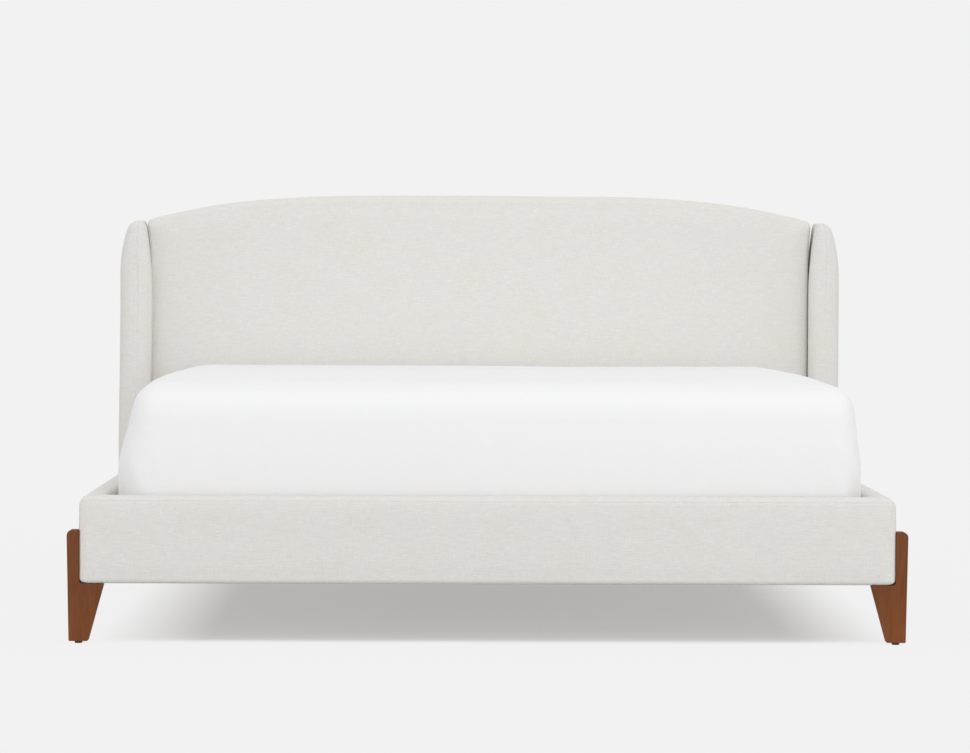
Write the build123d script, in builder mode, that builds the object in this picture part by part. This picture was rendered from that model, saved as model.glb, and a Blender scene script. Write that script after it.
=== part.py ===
from build123d import *
import os
from collections import namedtuple

# A king-size upholstered bed with an arched wingback headboard, in millimetres.
# +Z is up, the foot end faces -Y, and the origin is on the floor under the middle of the bed.
# Timber boards carry the load, foam and fabric pads wrap them, four bracket legs with levelling
# glides stand under the side boards, and a loose mattress lies on slats.

# ---------------------------------------------------------------- driving dimensions
mattress_width = 1930
mattress_length = 2032
mattress_edge_height = 332
mattress_crown = 2
mattress_corner_radius = 85
mattress_shoulder_radius = 70
mattress_heel_radius = 20
sheet_thickness = 1.5
sheet_ease = 0.4
sheet_tuck = 150
sheet_cut_reach = 1

side_room = 28
foot_room = 12
head_room = 8
mattress_recess = 60

floor_clearance = 155
board_height = 225
board_core = 38
face_pad = 16
top_pad = 14
lining_pad = 8
board_edge_radius = 12
lining_gap = 2

slat_count = 13
slat_width = 90
slat_thickness = 18
slat_end_gap = 3
slat_edge_chamfer = 2
slat_end_margin = 50
tape_width = 25
tape_thickness = 1.2
tape_place = 600
ledger_width = 30
ledger_height = 34
ledger_end_gap = 1
ledger_screw_count = 7
ledger_screw_margin = 120
ledger_screw_bite = 20

head_rail_thickness = 30
head_rail_lift = 10
head_rail_drop = 2

beam_width = 30
beam_height = 50
beam_wall = 2
beam_play = 0.5
beam_overlap = 420
hanger_plate = 3
hanger_plate_width = 80
hanger_plate_height = 74
hanger_reach = 40
hanger_wall = 2.5
hanger_lip_height = 32
hanger_side_gap = 0.3
hanger_screw_inset = 9
hanger_screw_bite = 21

bracket_flange = 60
bracket_thickness = 3
bracket_ledger_room = 13
bracket_lift = 10
bracket_hole_inset = 38
bracket_hole_rise = 18
corner_bolt_bite = 26

leg_strip_height = 138
leg_strip = 32
leg_shoulder_width = 95
leg_foot_width = 49
leg_lean = 5
leg_thickness = 36
leg_set_back = 4
leg_round = 14
leg_foot_round = 3
leg_notch_relief = 1
rear_leg_gap = 12
stud_radius = 4
stud_length = 60
stud_spacing = 21
dowel_radius = 5
dowel_rise = 80
dowel_in_core = 12
dowel_in_leg = 20

glide_radius = 10
glide_height = 6
glide_edge = 1
glide_stem_radius = 4
glide_stem_length = 28
glide_stem_clearance = 0.15
insert_radius = 6
insert_length = 34

headboard_height = 1201
headboard_rise = 81
headboard_overhang = 2
headboard_pad_depth = 52
headboard_pad_crown = 10
headboard_pad_radius = 30
headboard_side_pad = 7
headboard_top_pad = 14
panel_thickness = 15
frame_depth = 34
stile_width = 45
centre_stile_width = 70
upper_rail_depth = 120
back_cover_thickness = 2
back_cover_inset = 6
pad_gap = 1

wing_width = 91
wing_projection = 62
wing_drop = 84
wing_taper_height = 160
wing_taper_outer = 34
wing_taper_inner = 9
wing_nose_radius = 23
wing_top_radius = 25
wing_top_radius_limit = 0.44
wing_nose_radius_limit = 0.92
wing_front_foam = 45
wing_outer_foam = 24
wing_inner_foam = 12
wing_back_foam = 3
wing_core_drop = 70

headboard_bolt_places = (300, 850)
headboard_bolt_end_gap = 4
headboard_nut_height = 8
headboard_nut_pocket_radius = 12
headboard_nut_pocket_depth = 10
wing_bolt_count = 3
wing_bolt_low = 340
wing_bolt_end_gap = 31
wing_bolt_bite = 26

fit = 0.2

# ---------------------------------------------------------------- fasteners, as long as what they pass through
Fastener = namedtuple("Fastener", "radius length head_radius head_height")
corner_bolt = Fastener(radius=4, length=bracket_thickness + corner_bolt_bite, head_radius=7.5, head_height=5.3)
headboard_stack = head_rail_thickness + headboard_pad_depth + panel_thickness + frame_depth
headboard_bolt_length = headboard_stack - headboard_bolt_end_gap
headboard_bolt = Fastener(radius=5, length=headboard_bolt_length, head_radius=9.2, head_height=6.4)
wing_stack = stile_width + headboard_side_pad + wing_inner_foam
wing_bolt = Fastener(radius=4, length=wing_stack + wing_bolt_bite, head_radius=7.5, head_height=5.3)
hanger_screw = Fastener(radius=2.2, length=hanger_plate + hanger_screw_bite, head_radius=4.4, head_height=2.6)
ledger_screw = Fastener(radius=2.4, length=ledger_width + ledger_screw_bite, head_radius=4.6, head_height=2.8)

# ---------------------------------------------------------------- places worked out from them
rail_bottom = floor_clearance
rail_top = rail_bottom + board_height
core_top = rail_top - top_pad
board_thickness = face_pad + board_core + lining_pad

frame_inner_x = mattress_width / 2 + side_room
core_inner_x = frame_inner_x + lining_pad
core_outer_x = core_inner_x + board_core
frame_outer_x = frame_inner_x + board_thickness

headboard_depth = headboard_pad_depth + panel_thickness + frame_depth + back_cover_thickness
bed_length = board_thickness + foot_room + mattress_length + head_room + headboard_depth
foot_y = -bed_length / 2
foot_core_front_y = foot_y + face_pad
foot_core_back_y = foot_core_front_y + board_core
foot_back_y = foot_y + board_thickness
mattress_front_y = foot_back_y + foot_room
mattress_middle_y = mattress_front_y + mattress_length / 2
head_y = mattress_front_y + mattress_length + head_room
panel_y = head_y + headboard_pad_depth
headboard_frame_y = panel_y + panel_thickness
cover_y = headboard_frame_y + frame_depth
back_y = cover_y + back_cover_thickness
head_rail_y = head_y - head_rail_thickness

slat_top = rail_top - mattress_recess
slat_bottom = slat_top - slat_thickness
lining_bottom = slat_top + lining_gap
head_rail_bottom = rail_bottom + head_rail_lift
bracket_bottom = rail_bottom + bracket_lift
bracket_top = slat_bottom - ledger_height - bracket_ledger_room
head_rail_top = slat_bottom - head_rail_drop
headboard_bolt_height = (head_rail_bottom + head_rail_top) / 2

beam_middle_z = slat_bottom - beam_height / 2
inner_beam_width = beam_width - 2 * beam_wall - 2 * beam_play
inner_beam_height = beam_height - 2 * beam_wall - 2 * beam_play
beam_front_y = foot_core_back_y + hanger_plate
beam_back_y = head_rail_y - hanger_plate
beam_joint_y = (beam_front_y + beam_back_y) / 2

headboard_x = frame_outer_x + headboard_overhang
panel_x = headboard_x - headboard_side_pad
stile_inner_x = panel_x - stile_width
pad_bottom = head_rail_top + pad_gap
upper_rail_bottom = headboard_height - headboard_rise - upper_rail_depth

wing_outer_x = headboard_x + wing_width
wing_front_y = head_y - wing_projection
wing_top = headboard_height - wing_drop
wing_core_inner_x = headboard_x + wing_inner_foam
wing_core_outer_x = wing_outer_x - wing_outer_foam
wing_core_front_y = wing_front_y + wing_front_foam
wing_core_back_y = back_y - wing_back_foam
wing_core_top = wing_top - wing_core_drop

leg_top = rail_bottom + leg_strip_height
dowel_height = rail_bottom + dowel_rise
leg_outer_x = frame_outer_x + leg_strip
leg_foot_outer_x = leg_outer_x - leg_lean
leg_shoulder_x = leg_outer_x - leg_shoulder_width
glide_x = leg_foot_outer_x - leg_foot_width / 2
front_leg_y = foot_y + leg_set_back
rear_leg_y = wing_front_y - rear_leg_gap - leg_thickness
front_fixing_y = (foot_core_front_y + front_leg_y + leg_thickness) / 2
rear_fixing_y = rear_leg_y + leg_thickness / 2
core_middle_x = (core_inner_x + core_outer_x) / 2
stud_places_x = (core_middle_x - stud_spacing / 2, core_middle_x + stud_spacing / 2)

SIDES = {"left": -1, "right": 1}
LEGS = {
    "front_left": (-1, front_leg_y, front_fixing_y),
    "front_right": (1, front_leg_y, front_fixing_y),
    "rear_left": (-1, rear_leg_y, rear_fixing_y),
    "rear_right": (1, rear_leg_y, rear_fixing_y),
}
FROM_BELOW = (Align.CENTER, Align.CENTER, Align.MIN)


# ---------------------------------------------------------------- shared helpers
def block(x, y, z, mode=Mode.ADD):
    """A box between two x, two y and two z values, in any order."""
    corner = (min(x), min(y), min(z))
    with Locations(corner):
        Box(abs(x[1] - x[0]), abs(y[1] - y[0]), abs(z[1] - z[0]), align=(Align.MIN,) * 3, mode=mode)


def rod(start, direction, radius, length, mode=Mode.ADD):
    """A cylinder from start along direction."""
    with Locations(Plane(origin=start, z_dir=direction)):
        Cylinder(radius, length, align=FROM_BELOW, mode=mode)


def hexagon(start, direction, radius, height):
    """A six-sided prism from start along direction, radius across its corners."""
    with BuildSketch(Plane(origin=start, z_dir=direction)) as outline:
        RegularPolygon(radius, 6)
    extrude(outline.sketch, amount=height)


def bolt(seat, direction, kind):
    """A hexagon bolt whose head stands on seat and whose shank goes along direction."""
    backwards = tuple(-value for value in direction)
    hexagon(seat, backwards, kind.head_radius, kind.head_height)
    rod(seat, direction, kind.radius, kind.length)


def screw(seat, direction, kind):
    """A pan-head screw whose head stands on seat and whose shank goes along direction."""
    backwards = tuple(-value for value in direction)
    rod(seat, backwards, kind.head_radius, kind.head_height)
    rod(seat, direction, kind.radius, kind.length)


def bore(seat, direction, kind):
    """The hole that a fastener's shank passes through."""
    rod(seat, direction, kind.radius + fit, kind.length + fit, mode=Mode.SUBTRACT)


def bore_all(places, direction, kind):
    """The holes of those fasteners that point along direction."""
    for seat, pointing in places:
        if pointing == direction:
            bore(seat, direction, kind)


def save(piece, name):
    """Names a finished piece and writes its STEP file."""
    piece.label = name
    export_step(piece, f"parts/{name}.step")


# ---------------------------------------------------------------- where the fasteners go
def corner_bolt_places():
    """Seat and direction of each bolt in the four corner brackets."""
    heights = (bracket_bottom + bracket_hole_rise, bracket_top - bracket_hole_rise)
    places = []
    for side in SIDES.values():
        for face_y, into in ((foot_core_back_y, -1), (head_rail_y, 1)):
            for z in heights:
                along_rail = face_y - into * bracket_hole_inset
                across = side * (core_inner_x - bracket_hole_inset)
                places.append(((side * (core_inner_x - bracket_thickness), along_rail, z), (side, 0, 0)))
                places.append(((across, face_y - into * bracket_thickness, z), (0, into, 0)))
    return places


def headboard_bolt_seats():
    """Where the bolts that hold the headboard to the head rail have their heads."""
    return [(side * x, head_rail_y, headboard_bolt_height)
            for side in SIDES.values() for x in headboard_bolt_places]


def wing_bolt_seats(side):
    """Where the bolts that hold one wing to its stile have their heads."""
    middle_y = headboard_frame_y + frame_depth / 2
    high = min(upper_rail_bottom, wing_core_top) - wing_bolt_end_gap
    step = (high - wing_bolt_low) / (wing_bolt_count - 1)
    return [(side * stile_inner_x, middle_y, wing_bolt_low + step * n) for n in range(wing_bolt_count)]


def ledger_screw_seats(side):
    """Where the screws of one slat ledger have their heads."""
    first = foot_core_back_y + ledger_screw_margin
    last = head_rail_y - ledger_screw_margin
    step = (last - first) / (ledger_screw_count - 1)
    x = side * (core_inner_x - ledger_width)
    return [(x, first + step * n, slat_bottom - ledger_height / 2) for n in range(ledger_screw_count)]


def hanger_plate_span(tube_height):
    """Lowest and highest point of a beam hanger's plate."""
    bottom = beam_middle_z - tube_height / 2 - hanger_wall - (hanger_plate_height - beam_height) / 2
    return bottom, bottom + hanger_plate_height - hanger_wall


def hanger_screw_places():
    """Seat and direction of each screw in the two beam hangers."""
    places = []
    foot_end = (foot_core_back_y, -1, beam_height)
    head_end = (head_rail_y, 1, inner_beam_height)
    for face_y, into, tube_height in (foot_end, head_end):
        low, high = hanger_plate_span(tube_height)
        for x in (hanger_screw_inset - hanger_plate_width / 2, hanger_plate_width / 2 - hanger_screw_inset):
            for z in (low + hanger_screw_inset, high - hanger_screw_inset):
                places.append(((x, face_y - into * hanger_plate, z), (0, into, 0)))
    return places


# ---------------------------------------------------------------- bed frame
def make_footboard_core():
    """The timber board inside the footboard."""
    with BuildPart() as footboard_core:
        block((-core_outer_x, core_outer_x), (foot_core_front_y, foot_core_back_y), (rail_bottom, core_top))
        bore_all(corner_bolt_places(), (0, -1, 0), corner_bolt)
        bore_all(hanger_screw_places(), (0, -1, 0), hanger_screw)
        for side in SIDES.values():
            for x in stud_places_x:
                rod((side * x, front_fixing_y, rail_bottom), (0, 0, 1), stud_radius + fit,
                    stud_length / 2 + fit, mode=Mode.SUBTRACT)
            rod((side * core_outer_x, front_fixing_y, dowel_height), (-side, 0, 0), dowel_radius + fit,
                dowel_in_core + fit, mode=Mode.SUBTRACT)
    return footboard_core.part


def make_footboard_pad():
    """Foam and fabric round the footboard: thick on the face and ends, thin on the lining behind."""
    with BuildPart() as footboard_pad:
        block((-frame_outer_x, frame_outer_x), (foot_y, foot_back_y), (rail_bottom, rail_top))
        fillet(footboard_pad.edges(), board_edge_radius)
        block((-core_outer_x, core_outer_x), (foot_core_front_y, foot_core_back_y), (rail_bottom, core_top),
              mode=Mode.SUBTRACT)
        block((-core_outer_x, core_outer_x), (foot_core_back_y, foot_back_y), (rail_bottom, lining_bottom),
              mode=Mode.SUBTRACT)
        for side in SIDES.values():
            block((side * frame_inner_x, side * core_outer_x), (foot_core_back_y, foot_back_y),
                  (rail_bottom, core_top), mode=Mode.SUBTRACT)
            rod((side * core_outer_x, front_fixing_y, dowel_height), (side, 0, 0), dowel_radius + fit,
                face_pad, mode=Mode.SUBTRACT)
    return footboard_pad.part


def make_side_rail_core(side):
    """The timber board inside one side rail."""
    with BuildPart() as side_rail_core:
        block((side * core_inner_x, side * core_outer_x), (foot_core_back_y, head_y), (rail_bottom, core_top))
        side_bolts = [place for place in corner_bolt_places() if place[0][0] * side > 0]
        bore_all(side_bolts, (side, 0, 0), corner_bolt)
        for seat in ledger_screw_seats(side):
            bore(seat, (side, 0, 0), ledger_screw)
        for x in stud_places_x:
            rod((side * x, rear_fixing_y, rail_bottom), (0, 0, 1), stud_radius + fit, stud_length / 2 + fit,
                mode=Mode.SUBTRACT)
        rod((side * core_outer_x, rear_fixing_y, dowel_height), (-side, 0, 0), dowel_radius + fit,
            dowel_in_core + fit, mode=Mode.SUBTRACT)
    return side_rail_core.part


def make_side_rail_pad(side):
    """Foam and fabric over the face, the top and the upper lining of one side rail."""
    with BuildPart() as side_rail_pad:
        block((side * frame_inner_x, side * frame_outer_x), (foot_back_y, head_y), (rail_bottom, rail_top))
        fillet(side_rail_pad.edges().filter_by(Axis.Y), board_edge_radius)
        block((side * core_inner_x, side * core_outer_x), (foot_back_y, head_y), (rail_bottom, core_top),
              mode=Mode.SUBTRACT)
        block((side * frame_inner_x, side * core_inner_x), (foot_back_y, head_y), (rail_bottom, lining_bottom),
              mode=Mode.SUBTRACT)
        rod((side * core_outer_x, rear_fixing_y, dowel_height), (side, 0, 0), dowel_radius + fit, face_pad,
            mode=Mode.SUBTRACT)
    return side_rail_pad.part


def make_head_rail():
    """The crosspiece between the side rails that the headboard bolts to."""
    with BuildPart() as head_rail:
        block((-core_inner_x, core_inner_x), (head_rail_y, head_y), (head_rail_bottom, head_rail_top))
        bore_all(corner_bolt_places(), (0, 1, 0), corner_bolt)
        bore_all(hanger_screw_places(), (0, 1, 0), hanger_screw)
        for seat in headboard_bolt_seats():
            bore(seat, (0, 1, 0), headboard_bolt)
    return head_rail.part


def make_corner_brackets():
    """Four steel angles that tie the side rails to the footboard and the head rail."""
    span_z = (bracket_bottom, bracket_top)
    with BuildPart() as corner_brackets:
        for side in SIDES.values():
            wall_x = side * core_inner_x
            inner_x = wall_x - side * bracket_thickness
            for face_y, away in ((foot_core_back_y, 1), (head_rail_y, -1)):
                block((wall_x, inner_x), (face_y, face_y + away * bracket_flange), span_z)
                block((wall_x, wall_x - side * bracket_flange), (face_y, face_y + away * bracket_thickness),
                      span_z)
        for seat, direction in corner_bolt_places():
            bore(seat, direction, corner_bolt)
    return corner_brackets.part


def make_corner_bolts():
    """The hexagon bolts in the corner brackets."""
    with BuildPart() as corner_bolts:
        for seat, direction in corner_bolt_places():
            bolt(seat, direction, corner_bolt)
    return corner_bolts.part


# ---------------------------------------------------------------- mattress support
def make_ledger(side):
    """The batten along one side rail that carries the slat ends."""
    x = (side * core_inner_x, side * (core_inner_x - ledger_width))
    y = (foot_core_back_y + ledger_end_gap, head_rail_y - ledger_end_gap)
    with BuildPart() as ledger:
        block(x, y, (slat_bottom - ledger_height, slat_bottom))
        for seat in ledger_screw_seats(side):
            bore(seat, (side, 0, 0), ledger_screw)
    return ledger.part


def make_ledger_screws():
    """The screws through both ledgers."""
    with BuildPart() as ledger_screws:
        for side in SIDES.values():
            for seat in ledger_screw_seats(side):
                screw(seat, (side, 0, 0), ledger_screw)
    return ledger_screws.part


def slat_front(number):
    """The front edge of a slat, counted from the foot end."""
    first = foot_core_back_y + slat_end_margin
    last = head_y - slat_end_margin - slat_width
    return first + (last - first) * number / (slat_count - 1)


def make_slat(number):
    """One flat slat with its long edges eased."""
    reach = core_inner_x - slat_end_gap
    front = slat_front(number)
    with BuildPart() as slat:
        block((-reach, reach), (front, front + slat_width), (slat_bottom, slat_top))
        chamfer(slat.edges().filter_by(Axis.X), slat_edge_chamfer)
    return slat.part


def make_slat_tapes():
    """Two webbing tapes stapled under the slats that keep them at their spacing."""
    with BuildPart() as slat_tapes:
        for side in SIDES.values():
            middle = side * tape_place
            block((middle - tape_width / 2, middle + tape_width / 2),
                  (slat_front(0), slat_front(slat_count - 1) + slat_width),
                  (slat_bottom - tape_thickness, slat_bottom))
    return slat_tapes.part


def make_tube(width, height, y):
    """A rectangular steel tube of the middle beam."""
    bottom, top = beam_middle_z - height / 2, beam_middle_z + height / 2
    inside = width / 2 - beam_wall
    with BuildPart() as tube:
        block((-width / 2, width / 2), y, (bottom, top))
        block((-inside, inside), y, (bottom + beam_wall, top - beam_wall), mode=Mode.SUBTRACT)
    return tube.part


def make_beam_hangers():
    """Two steel saddles that carry the ends of the middle beam."""
    foot_end = (foot_core_back_y, 1, beam_width, beam_height)
    head_end = (head_rail_y, -1, inner_beam_width, inner_beam_height)
    with BuildPart() as beam_hangers:
        for face_y, away, width, height in (foot_end, head_end):
            plate_y = face_y + away * hanger_plate
            tube_bottom = beam_middle_z - height / 2
            inside = width / 2 + hanger_side_gap
            outside = inside + hanger_wall
            lip_top = tube_bottom + hanger_lip_height
            saddle_y = (plate_y, plate_y + away * hanger_reach)
            block((-hanger_plate_width / 2, hanger_plate_width / 2), (face_y, plate_y), hanger_plate_span(height))
            block((-outside, outside), saddle_y, (tube_bottom - hanger_wall, lip_top))
            block((-inside, inside), saddle_y, (tube_bottom, lip_top), mode=Mode.SUBTRACT)
        for seat, direction in hanger_screw_places():
            bore(seat, direction, hanger_screw)
    return beam_hangers.part


def make_hanger_screws():
    """The screws in the beam hangers."""
    with BuildPart() as hanger_screws:
        for seat, direction in hanger_screw_places():
            screw(seat, direction, hanger_screw)
    return hanger_screws.part


# ---------------------------------------------------------------- legs
def make_leg(side, front, fixing_y):
    """A flat bracket leg: a tapered foot under the frame and a strip up its outer side."""
    with BuildPart() as leg:
        with BuildSketch(Plane.XZ.offset(-front)) as outline:
            with BuildLine():
                Polyline(
                    (side * leg_foot_outer_x, glide_height),
                    (side * leg_outer_x, leg_top),
                    (side * frame_outer_x, leg_top),
                    (side * frame_outer_x, rail_bottom),
                    (side * leg_shoulder_x, rail_bottom),
                    (side * (leg_foot_outer_x - leg_foot_width), glide_height),
                    close=True,
                )
            make_face()
            round_corner = outline.vertices().sort_by_distance((side * leg_outer_x, leg_top))[0]
            fillet(round_corner, leg_round)
            notch_corner = outline.vertices().sort_by_distance((side * frame_outer_x, rail_bottom))[0]
            fillet(notch_corner, board_edge_radius - leg_notch_relief)
            fillet(outline.vertices().group_by(Axis.Y)[0], leg_foot_round)
        extrude(amount=-leg_thickness)
        for x in stud_places_x:
            rod((side * x, fixing_y, rail_bottom), (0, 0, -1), stud_radius + fit, stud_length / 2 + fit,
                mode=Mode.SUBTRACT)
        rod((side * frame_outer_x, fixing_y, dowel_height), (side, 0, 0), dowel_radius + fit, dowel_in_leg + fit,
            mode=Mode.SUBTRACT)
        rod((side * glide_x, front + leg_thickness / 2, glide_height), (0, 0, 1), insert_radius + fit,
            insert_length + fit, mode=Mode.SUBTRACT)
    return leg.part


def make_leg_studs():
    """Two threaded studs up from each leg into the timber above it."""
    with BuildPart() as leg_studs:
        for side, _, fixing_y in LEGS.values():
            for x in stud_places_x:
                rod((side * x, fixing_y, rail_bottom - stud_length / 2), (0, 0, 1), stud_radius, stud_length)
    return leg_studs.part


def make_leg_dowels():
    """One dowel from each leg's strip through the face pad into the timber."""
    with BuildPart() as leg_dowels:
        for side, _, fixing_y in LEGS.values():
            start = (side * (core_outer_x - dowel_in_core), fixing_y, dowel_height)
            rod(start, (side, 0, 0), dowel_radius, dowel_in_core + face_pad + dowel_in_leg)
    return leg_dowels.part


def make_glide_inserts():
    """The threaded sleeves in the legs that the glides turn in."""
    with BuildPart() as glide_inserts:
        for side, front, _ in LEGS.values():
            start = (side * glide_x, front + leg_thickness / 2, glide_height)
            rod(start, (0, 0, 1), insert_radius, insert_length)
            rod(start, (0, 0, 1), glide_stem_radius + glide_stem_clearance, insert_length, mode=Mode.SUBTRACT)
    return glide_inserts.part


def make_glide(side, front):
    """A levelling glide: a round pad on the floor and a stem up into the leg."""
    with BuildPart() as glide:
        rod((side * glide_x, front + leg_thickness / 2, 0), (0, 0, 1), glide_radius, glide_height)
        fillet(glide.edges().group_by(Axis.Z)[0], glide_edge)
        rod((side * glide_x, front + leg_thickness / 2, glide_height), (0, 0, 1), glide_stem_radius,
            glide_stem_length)
    return glide.part


# ---------------------------------------------------------------- headboard
def arch_outline(half_width, bottom, inset):
    """Draws the headboard's front outline: a flat base, upright sides and a top that falls with the
    fourth power of the distance from the middle, lowered by inset."""
    shares = (-1, -0.8, -0.55, -0.3, 0, 0.3, 0.55, 0.8, 1)
    crest = [(share * half_width, headboard_height - inset - headboard_rise * share**4) for share in shares]
    with BuildLine() as lines:
        Spline(*crest)
        Polyline(crest[-1], (half_width, bottom), (-half_width, bottom), crest[0])
    return lines.line


def arched_board(y, half_width, bottom, inset, mode=Mode.ADD):
    """A board with the headboard's arched outline between two y values."""
    with BuildSketch(Plane.XZ.offset(-y[0])) as face:
        make_face(arch_outline(half_width, bottom, inset))
    extrude(face.sketch, amount=-(y[1] - y[0]), mode=mode)


def make_headboard_panel():
    """The plywood sheet that the headboard's foam is glued to."""
    with BuildPart() as headboard_panel:
        arched_board((panel_y, headboard_frame_y), panel_x, rail_bottom, headboard_top_pad)
        for seat in headboard_bolt_seats():
            bore(seat, (0, 1, 0), headboard_bolt)
    return headboard_panel.part


def make_headboard_pad():
    """Foam and fabric over the headboard's front, top and sides, with a crowned face and soft edges."""
    with BuildPart() as headboard_pad:
        arched_board((head_y, cover_y), headboard_x, pad_bottom, 0)
        with BuildSketch(Plane.XY.offset(pad_bottom)):
            with BuildLine():
                edge_y = head_y + headboard_pad_crown
                ThreePointArc((-headboard_x, edge_y), (0, head_y), (headboard_x, edge_y))
                Polyline((headboard_x, edge_y), (headboard_x, cover_y), (-headboard_x, cover_y),
                         (-headboard_x, edge_y))
            make_face()
        extrude(amount=headboard_height - pad_bottom, mode=Mode.INTERSECT)
        front_face = headboard_pad.faces().sort_by(Axis.Y)[0]
        fillet(front_face.edges(), headboard_pad_radius)
        arched_board((panel_y, cover_y), panel_x, pad_bottom, headboard_top_pad, mode=Mode.SUBTRACT)
        for side in SIDES.values():
            for seat in wing_bolt_seats(side):
                bore(seat, (side, 0, 0), wing_bolt)
    return headboard_pad.part


def make_headboard_stile(side):
    """One upright at the side of the headboard's back frame."""
    with BuildPart() as headboard_stile:
        block((side * stile_inner_x, side * panel_x), (headboard_frame_y, cover_y),
              (rail_bottom, upper_rail_bottom))
        for seat in wing_bolt_seats(side):
            bore(seat, (side, 0, 0), wing_bolt)
    return headboard_stile.part


def make_headboard_centre_stile():
    """The upright in the middle of the headboard's back frame."""
    half = centre_stile_width / 2
    with BuildPart() as headboard_centre_stile:
        block((-half, half), (headboard_frame_y, cover_y), (head_rail_top, upper_rail_bottom))
    return headboard_centre_stile.part


def make_headboard_upper_rail():
    """The arched crosspiece at the top of the headboard's back frame."""
    with BuildPart() as headboard_upper_rail:
        arched_board((headboard_frame_y, cover_y), panel_x, upper_rail_bottom, headboard_top_pad)
    return headboard_upper_rail.part


def make_headboard_lower_rail():
    """The crosspiece at the foot of the back frame, with pockets for the bolts' nuts."""
    with BuildPart() as headboard_lower_rail:
        block((-stile_inner_x, stile_inner_x), (headboard_frame_y, cover_y), (rail_bottom, head_rail_top))
        for x, y, z in headboard_bolt_seats():
            bore((x, y, z), (0, 1, 0), headboard_bolt)
            rod((x, cover_y, z), (0, -1, 0), headboard_nut_pocket_radius, headboard_nut_pocket_depth,
                mode=Mode.SUBTRACT)
    return headboard_lower_rail.part


def make_headboard_mounting_board():
    """The board below the pad that the bed frame bolts up against."""
    with BuildPart() as headboard_mounting_board:
        block((-panel_x, panel_x), (head_y, panel_y), (rail_bottom, head_rail_top))
        for seat in headboard_bolt_seats():
            bore(seat, (0, 1, 0), headboard_bolt)
    return headboard_mounting_board.part


def make_headboard_back_cover():
    """The thin lined board that closes the headboard's back."""
    with BuildPart() as headboard_back_cover:
        arched_board((cover_y, back_y), headboard_x - back_cover_inset, rail_bottom, back_cover_inset)
    return headboard_back_cover.part


def make_headboard_bolts():
    """The bolts from the head rail through the headboard."""
    with BuildPart() as headboard_bolts:
        for seat in headboard_bolt_seats():
            bolt(seat, (0, 1, 0), headboard_bolt)
    return headboard_bolts.part


def make_headboard_nuts():
    """The nuts in the pockets of the lower rail."""
    with BuildPart() as headboard_nuts:
        for x, _, z in headboard_bolt_seats():
            start = (x, cover_y - headboard_nut_pocket_depth, z)
            hexagon(start, (0, 1, 0), headboard_bolt.head_radius, headboard_nut_height)
            rod(start, (0, 1, 0), headboard_bolt.radius + fit, headboard_nut_height, mode=Mode.SUBTRACT)
    return headboard_nuts.part


# ---------------------------------------------------------------- wings
def make_wing_core(side):
    """The plywood box inside one wing."""
    with BuildPart() as wing_core:
        block((side * wing_core_inner_x, side * wing_core_outer_x), (wing_core_front_y, wing_core_back_y),
              (rail_bottom, wing_core_top))
        for seat in wing_bolt_seats(side):
            bore(seat, (side, 0, 0), wing_bolt)
    return wing_core.part


def make_wing_pad(side):
    """Foam and fabric round one wing: a rounded nose in front, drawn in towards the top."""
    taper_z = wing_top - wing_taper_height
    outer_end = (side * (wing_outer_x - wing_taper_outer), wing_top)
    inner_end = (side * (headboard_x + wing_taper_inner), wing_top)
    top_width = wing_width - wing_taper_outer - wing_taper_inner
    top_radius = min(wing_top_radius, wing_top_radius_limit * top_width)
    nose_radius = min(wing_nose_radius, wing_nose_radius_limit * top_radius)
    with BuildPart() as wing_pad:
        with BuildSketch(Plane.XZ.offset(-wing_front_y)) as outline:
            with BuildLine():
                outer_side = Line((side * wing_outer_x, rail_bottom), (side * wing_outer_x, taper_z))
                TangentArc(outer_side @ 1, outer_end, tangent=outer_side % 1)
                Line(outer_end, inner_end)
                inner_side = Line((side * headboard_x, rail_bottom), (side * headboard_x, taper_z))
                TangentArc(inner_side @ 1, inner_end, tangent=inner_side % 1)
                Line(inner_side @ 0, outer_side @ 0)
            make_face()
            fillet(outline.vertices().group_by(Axis.Y)[-1], top_radius)
        extrude(amount=-(back_y - wing_front_y))
        nose = wing_pad.faces().sort_by(Axis.Y)[0]
        fillet(nose.edges().sort_by(Axis.Z)[1:], nose_radius)
        block((side * wing_core_inner_x, side * wing_core_outer_x), (wing_core_front_y, wing_core_back_y),
              (rail_bottom, wing_core_top), mode=Mode.SUBTRACT)
        for seat in wing_bolt_seats(side):
            bore(seat, (side, 0, 0), wing_bolt)
    return wing_pad.part


def make_wing_bolts():
    """The bolts from the stiles into the wings."""
    with BuildPart() as wing_bolts:
        for side in SIDES.values():
            for seat in wing_bolt_seats(side):
                bolt(seat, (side, 0, 0), wing_bolt)
    return wing_bolts.part


# ---------------------------------------------------------------- mattress and sheet
def mattress_form(grow):
    """A closed mattress shape, crowned on top and rounded all round, larger by grow on every side."""
    half_width = mattress_width / 2 + grow
    half_length = mattress_length / 2 + grow
    bottom = slat_top - grow + sheet_thickness + sheet_ease
    edge_z = bottom + 2 * grow + mattress_edge_height
    with BuildPart() as form:
        with BuildSketch(Plane.XZ.offset(half_length - mattress_middle_y)):
            with BuildLine():
                ThreePointArc((-half_width, edge_z), (0, edge_z + mattress_crown), (half_width, edge_z))
                Polyline((half_width, edge_z), (half_width, bottom), (-half_width, bottom), (-half_width, edge_z))
            make_face()
        extrude(amount=-2 * half_length)
        fillet(form.edges().filter_by(Axis.Z), mattress_corner_radius + grow)
        fillet(form.faces().sort_by(Axis.Z)[-1].edges(), mattress_shoulder_radius + grow)
        fillet(form.faces().sort_by(Axis.Z)[0].edges(), mattress_heel_radius + grow)
    return form.part


def make_mattress():
    """The mattress itself."""
    return mattress_form(0)


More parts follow.
